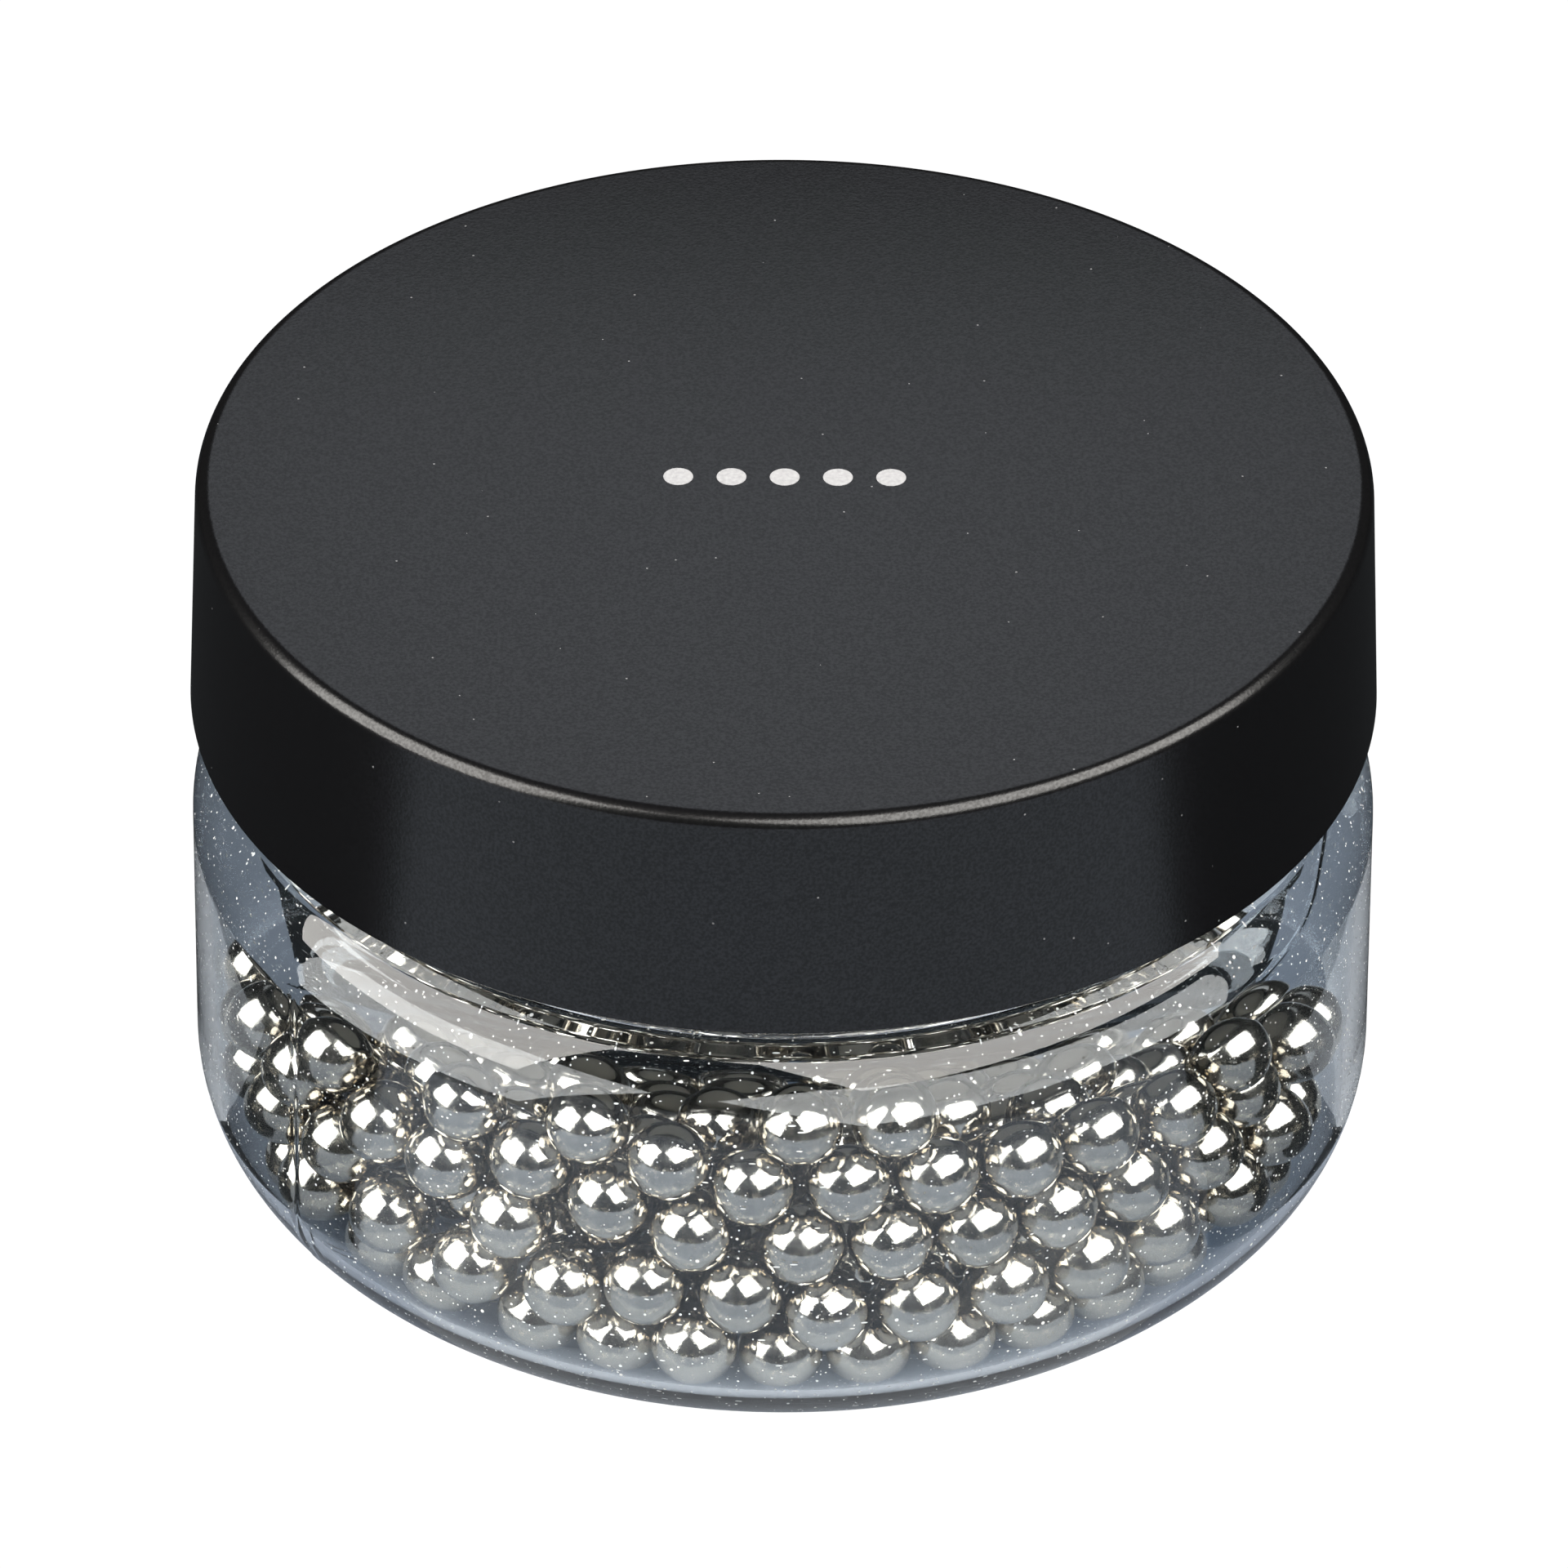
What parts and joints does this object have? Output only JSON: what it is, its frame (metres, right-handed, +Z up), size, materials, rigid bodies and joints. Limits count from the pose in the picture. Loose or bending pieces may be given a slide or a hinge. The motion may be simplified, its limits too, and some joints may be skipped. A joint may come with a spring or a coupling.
{
  "type": "jar of steel balls",
  "caption": "Small round clear jar with a flush black screw lid, part-filled with loose polished steel balls.",
  "frame": {"origin": "centre of the jar's base, in the plane that it stands on", "axes": "+Z up along the jar's axis; -Y is the front, where the balls lie highest; +X to the right"},
  "size_m": [0.0562, 0.0562, 0.0368],
  "materials": {
    "clear_plastic": "clear moulded, high gloss",
    "black_plastic": "fine-grained satin black",
    "liner_foam": "white foam sheet",
    "lid_print": "light grey pad print",
    "ball_steel": "polished stainless steel"
  },
  "bodies": {
    "jar": {"jar": "clear_plastic", "balls_layer_01": "ball_steel", "balls_layer_02": "ball_steel", "balls_layer_03": "ball_steel", "balls_layer_04": "ball_steel", "balls_layer_05": "ball_steel", "balls_layer_06": "ball_steel", "balls_layer_07": "ball_steel", "balls_layer_08": "ball_steel", "balls_layer_09": "ball_steel", "balls_layer_10": "ball_steel", "balls_layer_11": "ball_steel", "balls_layer_12": "ball_steel"},
    "liner": {"liner": "liner_foam"},
    "lid": {"lid": "black_plastic"},
    "loose_ball_01": {"loose_ball_01": "ball_steel"},
    "loose_ball_02": {"loose_ball_02": "ball_steel"},
    "loose_ball_03": {"loose_ball_03": "ball_steel"},
    "loose_ball_04": {"loose_ball_04": "ball_steel"},
    "loose_ball_05": {"loose_ball_05": "ball_steel"},
    "loose_ball_06": {"loose_ball_06": "ball_steel"}
  },
  "joints": [
    {"name": "lid_rise", "type": "slide", "parent": "jar", "child": "liner", "axis": [0, 0, 1], "range_m": [0, 0.01376]},
    {"name": "lid_turn", "type": "hinge", "parent": "liner", "child": "lid", "pos_m": [0, 0, 0], "axis": [0, 0, 1], "range_deg": [0, 1170]},
    {"name": "ball_01_lift", "type": "slide", "parent": "jar", "child": "loose_ball_01", "axis": [0, 0, 1], "range_m": [0, 0.021]},
    {"name": "ball_02_lift", "type": "slide", "parent": "jar", "child": "loose_ball_02", "axis": [0, 0, 1], "range_m": [0, 0.0285]},
    {"name": "ball_03_lift", "type": "slide", "parent": "jar", "child": "loose_ball_03", "axis": [0, 0, 1], "range_m": [0, 0.0285]},
    {"name": "ball_04_lift", "type": "slide", "parent": "jar", "child": "loose_ball_04", "axis": [0, 0, 1], "range_m": [0, 0.0225]},
    {"name": "ball_05_lift", "type": "slide", "parent": "jar", "child": "loose_ball_05", "axis": [0, 0, 1], "range_m": [0, 0.0285]},
    {"name": "ball_06_lift", "type": "slide", "parent": "jar", "child": "loose_ball_06", "axis": [0, 0, 1], "range_m": [0, 0.025]}
  ],
  "couplings": [
    {"joint": "lid_rise", "follows": "lid_turn", "m_per_rad": 0.00067323}
  ]
}
